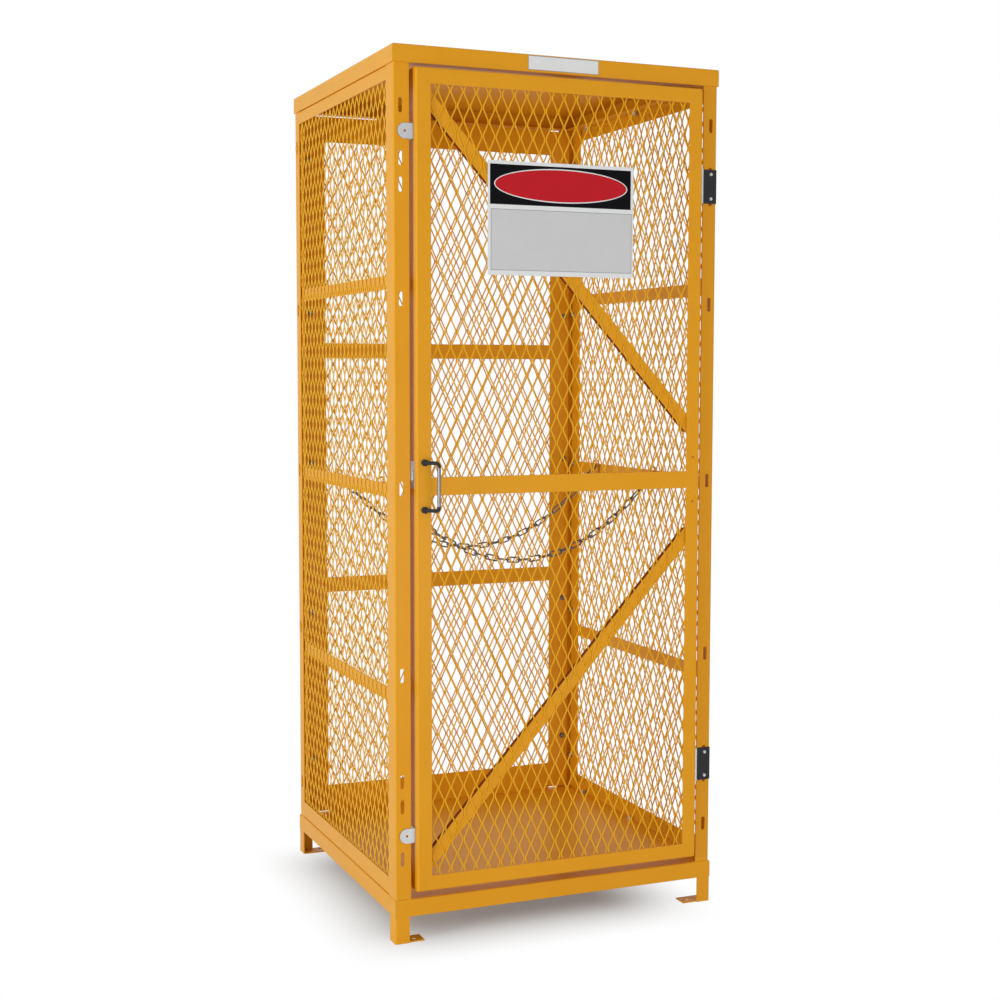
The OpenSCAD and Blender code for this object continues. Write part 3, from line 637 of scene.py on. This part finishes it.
def hang_chain(node, body, joint):
    left = Vector(joint["pos_m"]) + Vector((0, 0, END_OVER_AXIS))
    along = Vector(joint["axis"])
    span = -2 * left.x / along.x
    half_length = (LINK_STEP * (LINKS - 1) + LINK_PITCH + CHAIN_WIRE) / 2
    constant = catenary_constant(span, half_length)
    values = {"Links": LINKS, "Step": LINK_STEP, "Curve constant": constant,
              "Drop": constant * math.cosh(span / 2 / constant), "Wire": CHAIN_WIRE,
              "Pitch": LINK_PITCH, "Width": LINK_WIDTH}
    turn = Matrix.Rotation(math.atan2(along.y, along.x), 4, "Z")
    place = Matrix.Translation(left + along * (span / 2)) @ turn
    piece = chain_graph.make(node + "_links", values, chain_zinc, place)
    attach(piece, body)
    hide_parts(node)


hang_chain("chain_front", "front_chain", joints["front_chain_swing"])
hang_chain("chain_rear", "rear_chain", joints["rear_chain_swing"])

# %% [markdown]
# ## Small fasteners
# The frame has the bolts that the cage is built with. These are the small ones that only show
# close up: the screws in the hinge leaves on the door, in the lock's face plate and behind the
# handle, and the low bolts that hold the back panel to the rear posts, with their nuts inside.
# All are a head on a washer, so one tree makes them: a head has six sides for a nut and many
# for a screw, and its rim is chamfered. Each row is a line of points with a head on each.

# %% Fastener tree
CHAMFER_SHARE, TOP_SHARE, WASHER_CORNERS = 0.3, 0.8, 24

fastener_graph = GeometryGraph("fasteners", {
    "Count": "Int", "Spacing": "Float", "Sides": "Int", "Head radius": "Float",
    "Head height": "Float", "Washer radius": "Float", "Washer height": "Float"})


def disc(graph, sides, radius, top_radius, height, base):
    """A round or six-sided slice that stands on `base`, narrower at the top if told so."""
    cone = graph.wire("GeometryNodeMeshCone",
                      inputs={"Vertices": sides, "Radius Bottom": radius,
                              "Radius Top": top_radius, "Depth": height})
    return graph.wire("GeometryNodeTransform",
                      inputs={"Geometry": cone, "Translation": vector(graph, 0, 0, base)})


head_radius, head_height = fastener_graph["Head radius"], fastener_graph["Head height"]
washer_radius, washer_height = fastener_graph["Washer radius"], fastener_graph["Washer height"]
straight = head_height * (1 - CHAMFER_SHARE)
head = join(
    fastener_graph,
    disc(fastener_graph, WASHER_CORNERS, washer_radius, washer_radius, washer_height, 0),
    disc(fastener_graph, fastener_graph["Sides"], head_radius, head_radius, straight,
         washer_height),
    disc(fastener_graph, fastener_graph["Sides"], head_radius, head_radius * TOP_SHARE,
         head_height * CHAMFER_SHARE, washer_height + straight))
row = fastener_graph.wire("GeometryNodeMeshLine",
                          inputs={"Count": fastener_graph["Count"],
                                  3: vector(fastener_graph, fastener_graph["Spacing"])})
fastener_graph.finish(fastener_graph.wire("GeometryNodeInstanceOnPoints",
                                          inputs={"Points": row, "Instance": head}))

# %% Fastener rows
LEAF_SCREW = (24, 3.8 * MM, 1.3 * MM, 4.4 * MM, 0.5 * MM)
PLATE_SCREW = (24, 2.4 * MM, 0.5 * MM, 2.6 * MM, 0.2 * MM)
HANDLE_SCREW = (24, 4.2 * MM, 2.2 * MM, 5.5 * MM, 0.8 * MM)
BACK_BOLT = (24, 6.0 * MM, 1.5 * MM, 7.0 * MM, 0.5 * MM)
BACK_NUT = (6, 6.4 * MM, 5.0 * MM, 8.0 * MM, 1.2 * MM)


def fastener_row(name, first, step, facing, count, sizes, body, material):
    """A row of equal heads that stand on a face and look the way it faces."""
    along, out = Vector(step).normalized(), Vector(facing)
    turn = Matrix((along, out.cross(along), out)).transposed().to_4x4()
    labels = ("Sides", "Head radius", "Head height", "Washer radius", "Washer height")
    values = {"Count": count, "Spacing": Vector(step).length, **dict(zip(labels, sizes))}
    place = Matrix.Translation(Vector(first)) @ turn
    piece = fastener_graph.make(name, values, material, place)
    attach(piece, body)


leaf_low, leaf_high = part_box("hinge_door_leaves")
HINGE_HEIGHT, LEAF_THICKNESS = 80 * MM, 2.5 * MM
LEAF_SCREW_GAP, LEAF_SCREW_IN = 52 * MM, 11 * MM
leaf_face = (leaf_low.x + LEAF_THICKNESS, leaf_high.y - LEAF_SCREW_IN)
for end, bottom in (("lower", leaf_low.z), ("upper", leaf_high.z - HINGE_HEIGHT)):
    fastener_row("hinge_leaf_screws_" + end,
                 (*leaf_face, bottom + (HINGE_HEIGHT - LEAF_SCREW_GAP) / 2),
                 (0, 0, LEAF_SCREW_GAP), (1, 0, 0), 2, LEAF_SCREW, "door", zinc)

lock_low, lock_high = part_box("lock_case")
PLATE_SCREW_IN = 6 * MM
fastener_row("lock_plate_screws",
             (lock_low.x, (lock_low.y + lock_high.y) / 2, lock_low.z + PLATE_SCREW_IN),
             (0, 0, lock_high.z - lock_low.z - 2 * PLATE_SCREW_IN), (-1, 0, 0), 2, PLATE_SCREW,
             "door", zinc)

handle_low, handle_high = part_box("handle_brackets")
HANDLE_SPAN, BOSS_RADIUS, SHEET = 107 * MM, 7.5 * MM, 2.5 * MM
lower_screw_z = (handle_low.z + handle_high.z - HANDLE_SPAN) / 2
fastener_row("handle_screws",
             (handle_low.x + BOSS_RADIUS, handle_high.y + SHEET, lower_screw_z),
             (0, 0, HANDLE_SPAN), (0, 1, 0), 2, HANDLE_SCREW, "door", zinc)

BACK_BOLT_IN, BACK_BOLT_FIRST, BACK_BOLT_STEP, BACK_BOLTS = 38 * MM, 255 * MM, 404 * MM, 5
flange_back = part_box("post_rear_left_back")[1].y
stile_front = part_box("back_left_stile")[0].y
for side, x in (("left", cad_low.x + BACK_BOLT_IN), ("right", cad_high.x - BACK_BOLT_IN)):
    for end, y, facing, sizes in (("bolts", flange_back, 1, BACK_BOLT),
                                  ("nuts", stile_front, -1, BACK_NUT)):
        fastener_row("back_" + end + "_" + side, (x, y, BACK_BOLT_FIRST),
                     (0, 0, BACK_BOLT_STEP), (0, facing, 0), BACK_BOLTS, sizes, "cage",
                     chain_zinc)

# %% [markdown]
# ## Thin strips
# Each brace of the door is a shallow angle: a narrow lip is folded back along its left edge.
# The lip's outer side has a dark, dull brown-orange finish, a painted shade, so that, from the front left, the lip
# draws a dark line beside the brace. Over the back panel's top rail a packing strip fills the gap to the roof
# tray, but for a stretch at its left end. Both are flat strips of sheet, so one helper gives a strip its thickness
# from an outline.

# %% Strips of sheet
def sheet_strip(name, corners, thickness, body, materials=(powder_coat,)):
    """A flat strip through these corners. Its first face gets the last of the materials."""
    sides = [Vector(corner) for corner in corners]
    normal = (sides[1] - sides[0]).cross(sides[-1] - sides[0]).normalized()
    count = len(sides)
    points = sides + [side - normal * thickness for side in sides]
    front = list(range(count))
    back = [corner + count for corner in reversed(front)]
    rims = [(i, i + count, (i + 1) % count + count, (i + 1) % count) for i in range(count)]
    mesh = bpy.data.meshes.new(name)
    mesh.from_pydata(points, [], [front, back, *rims])
    for material in materials:
        mesh.materials.append(material)
    mesh.polygons[0].material_index = len(materials) - 1
    piece = add_object(name, mesh)
    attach(piece, body)
    print(name, "is", round((sides[1] - sides[0]).length / MM), "mm long")


# %% Brace lips and the packing strip
BRACE_WIDTH = 30 * MM
LIP_DEPTH, LIP_THICKNESS = 13 * MM, 2 * MM
STRIP_OPEN, STRIP_GAP, STRIP_THICKNESS = 230 * MM, 0.4 * MM, 2 * MM
ANGLE_ROUNDS = 8
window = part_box("door_latch_stile")[1].x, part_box("door_hinge_stile")[0].x
# The lips' outer face gets a dark brown-orange finish, a painted shade that draws a dark line beside each brace.
painted_shade_lip_coat = one_finish("painted_shade_lip_coat", ink_shader, (0.24, 0.06, 0.010), 0.8, 0.0)


def brace_lip(name, node, up):
    """The lip on a brace's left edge: `up` is 1 on the upper brace and -1 on the lower one.

    The slope follows from the brace's box and width, and the width's share of the box from
    the slope, so both are found together in a few rounds."""
    low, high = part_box(node)
    angle = math.radians(45)
    for _ in range(ANGLE_ROUNDS):
        angle = math.atan2(high.z - low.z - BRACE_WIDTH * math.cos(angle),
                           high.x - low.x - BRACE_WIDTH * math.sin(angle))
    outer_z = high.z - BRACE_WIDTH * math.cos(angle) if up > 0 \
        else low.z + BRACE_WIDTH * math.cos(angle)
    ends = [(x, outer_z - up * (x - low.x) * math.tan(angle)) for x in window]
    depths = [high.y, high.y + LIP_DEPTH]
    back, front = sorted(depths, reverse=up > 0)
    corners = [(ends[0][0], back, ends[0][1]), (ends[1][0], back, ends[1][1]),
               (ends[1][0], front, ends[1][1]), (ends[0][0], front, ends[0][1])]
    sheet_strip(name, corners, LIP_THICKNESS, "door", (powder_coat, painted_shade_lip_coat))


brace_lip("brace_lip_upper", "door_brace_upper", 1)
brace_lip("brace_lip_lower", "door_brace_lower", -1)

rail_low, rail_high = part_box("back_top_rail")
strip_left, strip_right = cad_low.x + STRIP_OPEN, rail_high.x
strip_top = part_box("roof_tray")[0].z - STRIP_GAP
sheet_strip("back_packing_strip",
            [(strip_left, rail_low.y, rail_high.z), (strip_right, rail_low.y, rail_high.z),
             (strip_right, rail_low.y, strip_top), (strip_left, rail_low.y, strip_top)],
            STRIP_THICKNESS, "cage")

# %% [markdown]
# ## The sign and the label
# The sign on the door keeps its fields of colour and has no words: a black band with a red
# oval in a white rim, over a grey field with a thin line round it. The label on the roof tray
# stays blank. Each field is a flat plate a few hundredths of a millimetre thick, like a layer
# of ink, and fields on top of one another stand a little further out.

# %% Fields of colour
INK = 0.08 * MM


def ellipse(x, z, half_width, half_height, corners=72):
    turns = [2 * math.pi * corner / corners for corner in range(corners)]
    return [(x + half_width * math.cos(turn), z + half_height * math.sin(turn))
            for turn in turns]


def rectangle(x0, z0, x1, z1):
    return [(x0, z0), (x1, z0), (x1, z1), (x0, z1)]


def line_round(x0, z0, x1, z1, width):
    """The four strips of a thin frame."""
    return [rectangle(x0, z0, x1, z0 + width), rectangle(x0, z1 - width, x1, z1),
            rectangle(x0, z0 + width, x0 + width, z1 - width),
            rectangle(x1 - width, z0 + width, x1, z1 - width)]


def printed_fields(name, node, fields, body):
    """Plates in front of a node's front face, placed in mm from its left, lower corner."""
    low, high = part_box(node)
    points, faces, inks, materials = [], [], [], []
    for layer, material, outlines in fields:
        if material not in materials:
            materials.append(material)
        for outline in outlines:
            first, count = len(points), len(outline)
            for y in (low.y - INK * layer, low.y):
                points += [(low.x + x * MM, y, low.z + z * MM) for x, z in outline]
            front = list(range(first, first + count))
            back = [corner + count for corner in front]
            sides = [(front[i - 1], back[i - 1], back[i], front[i]) for i in range(count)]
            new_faces = [tuple(front), tuple(reversed(back)), *sides]
            faces += new_faces
            inks += [materials.index(material)] * len(new_faces)
    mesh = bpy.data.meshes.new(name)
    mesh.from_pydata(points, [], faces)
    for material in materials:
        mesh.materials.append(material)
    mesh.polygons.foreach_set("material_index", inks)
    piece = add_object(name, mesh)
    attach(piece, body)
    print(name, "has", len(faces), "faces")


BAND = (5, 159, 361, 249)
OVAL_MIDDLE, OVAL_HALVES, OVAL_RIM = (183.5, 205.5), (168.5, 38.5), 2.5
FIELD = (7, 11, 364, 149)
FIELD_LINE = 1.4
red_halves = [half - OVAL_RIM for half in OVAL_HALVES]
printed_fields("sign_print", "sign_plate", [
    (1, sign_black, [rectangle(*BAND)]),
    (1, sign_grey, [rectangle(*FIELD)]),
    (2, sign_line, line_round(*FIELD, FIELD_LINE)),
    (2, sign_white, [ellipse(*OVAL_MIDDLE, *OVAL_HALVES)]),
    (3, sign_red, [ellipse(*OVAL_MIDDLE, *red_halves)]),
], "door")

LABEL = (326, 5, 504, 37)
LABEL_LINE = 1.2
printed_fields("roof_label", "roof_tray", [
    (1, sign_white, [rectangle(*LABEL)]),
    (2, sign_line, line_round(*LABEL, LABEL_LINE)),
], "cage")

# %% [markdown]
# ## Light and floor
# The cage stands on a pale studio floor under soft light. A large lamp on the left lights the
# side wall, a low one in front evens out the door from top to bottom, and the world fills in
# from all round at a little over half strength, so a colour renders nearly as it is written.
# The background is white without more light on the cage: for what the camera sees directly or in a reflection, the
# world and the floor glow at a strength of 1. Under the cage and close to it, in a zone shifted a little to the
# left and the front, the floor is a lit surface that keeps the real shadow. For the light that bounces off it,
# that surface is nearly white. For the camera it is painted a mid grey, a painted shade that deepens the shadow,
# and a faint painted glow lifts it a little. Across the edges of the zone one passes softly into the other.

# %% World
world = bpy.data.worlds.new("studio")
scene.world = world
world.use_nodes = True
world.node_tree.nodes.clear()
graph = Graph(world.node_tree)
WORLD_FILL = 0.58


def seen_directly(graph):
    """1 for what the camera sees, straight or in a mirror or glass, and 0 for light."""
    rays = graph.node("ShaderNodeLightPath")
    seen = [Wire(graph, rays.outputs[name])
            for name in ("Is Camera Ray", "Is Glossy Ray", "Is Transmission Ray")]
    return (seen[0] + seen[1] + seen[2]).math("MINIMUM", 1)


strength = WORLD_FILL + seen_directly(graph) * (1 - WORLD_FILL)
background = graph.wire("ShaderNodeBackground",
                        inputs={"Color": (1, 1, 1, 1), "Strength": strength})
graph.node("ShaderNodeOutputWorld", inputs={"Surface": background})

# %% Lamps
def soft_lamp(name, place, target, size, power, colour):
    lamp = bpy.data.lights.new(name, "AREA")
    lamp.shape = "DISK"
    lamp.size = size
    lamp.energy = power
    lamp.color = colour
    holder = add_object(name, lamp)
    direction = Vector(target) - Vector(place)
    aim = direction.to_track_quat("-Z", "Y").to_matrix().to_4x4()
    holder.matrix_world = Matrix.Translation(Vector(place)) @ aim


LAMP_SIZE = 2.0
KEY_WATTS, KEY_COLOUR = 170, (0.90, 1.0, 0.82)
FILL_WATTS, FILL_COLOUR = 42, (1.0, 0.94, 0.88)
middle = (cad_low + cad_high) / 2
foot = Vector((middle.x, middle.y, 0.1))
soft_lamp("key_left", (-6.2, -2.0, 1.4), middle, LAMP_SIZE, KEY_WATTS, KEY_COLOUR)
soft_lamp("fill_low", (0.2, -4.0, 0.1), foot, LAMP_SIZE, FILL_WATTS, FILL_COLOUR)

# %% Floor
FLOOR_RADIUS = 6.0
FLOOR_GREY = 0.92
# The camera's grey for the floor round the cage is a painted shade, and the lift below it is a faint painted glow
# in that shade.
PAINTED_SHADE_GREY = 0.45
SHADOW_LIFT = 0.16
SHADOW_INSIDE, SHADOW_OUTSIDE = 0.20, 0.095
SHADOW_SHIFT = Vector((-0.07, -0.01))

floor_mesh = bpy.data.meshes.new("floor")
corners = [(-FLOOR_RADIUS, -FLOOR_RADIUS, 0), (FLOOR_RADIUS, -FLOOR_RADIUS, 0),
           (FLOOR_RADIUS, FLOOR_RADIUS, 0), (-FLOOR_RADIUS, FLOOR_RADIUS, 0)]
floor_mesh.from_pydata(corners, [], [(0, 1, 2, 3)])
floor = add_object("floor", floor_mesh)
floor_material, graph = new_material("studio_floor")
place, (x, y, z) = object_place(graph)


def soft_band(value, centre, half):
    """1 well inside the band and 0 well outside it, with a soft step at each end."""
    depth = (half + SHADOW_OUTSIDE) - abs(value - centre)
    share = (depth / (SHADOW_INSIDE + SHADOW_OUTSIDE)).math("MAXIMUM", 0).math("MINIMUM", 1)
    return share * share * (3 - share * 2)


half_size = (cad_high - cad_low) / 2
# The zone of painted shade round the footprint, shifted a little to the left and the front; inside it the real
# shadow shows as well.
near = soft_band(x, middle.x + SHADOW_SHIFT.x, half_size.x) \
    * soft_band(y, middle.y + SHADOW_SHIFT.y, half_size.y)
seen = seen_directly(graph)
grey = blend_colours(graph, seen, (FLOOR_GREY,) * 3 + (1,), (PAINTED_SHADE_GREY,) * 3 + (1,))
matt = graph.wire("ShaderNodeBsdfDiffuse", inputs={"Color": grey})
glow = graph.wire("ShaderNodeEmission", inputs={"Color": (1, 1, 1, 1), "Strength": 1.0})
lit = graph.wire("ShaderNodeMixShader", inputs={0: (1 - near) * seen, 1: matt, 2: glow})
# A faint painted glow that lifts the painted shade in the zone.
lift = graph.wire("ShaderNodeEmission",
                  inputs={"Color": (1, 1, 1, 1), "Strength": near * seen * SHADOW_LIFT})
surface(graph, graph.wire("ShaderNodeAddShader", inputs={0: lit, 1: lift}))
floor_mesh.materials.append(floor_material)
floor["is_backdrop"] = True

scene.view_settings.view_transform = "Standard"

# %% [markdown]
# ## The last lines
# The size of the dressed cage is put beside the frame's in one table, since the dressing should not change it.

# %% Size and finish
sizes = {"cad": [list(cad_low), list(cad_high)], "visual": [list(side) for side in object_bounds()]}
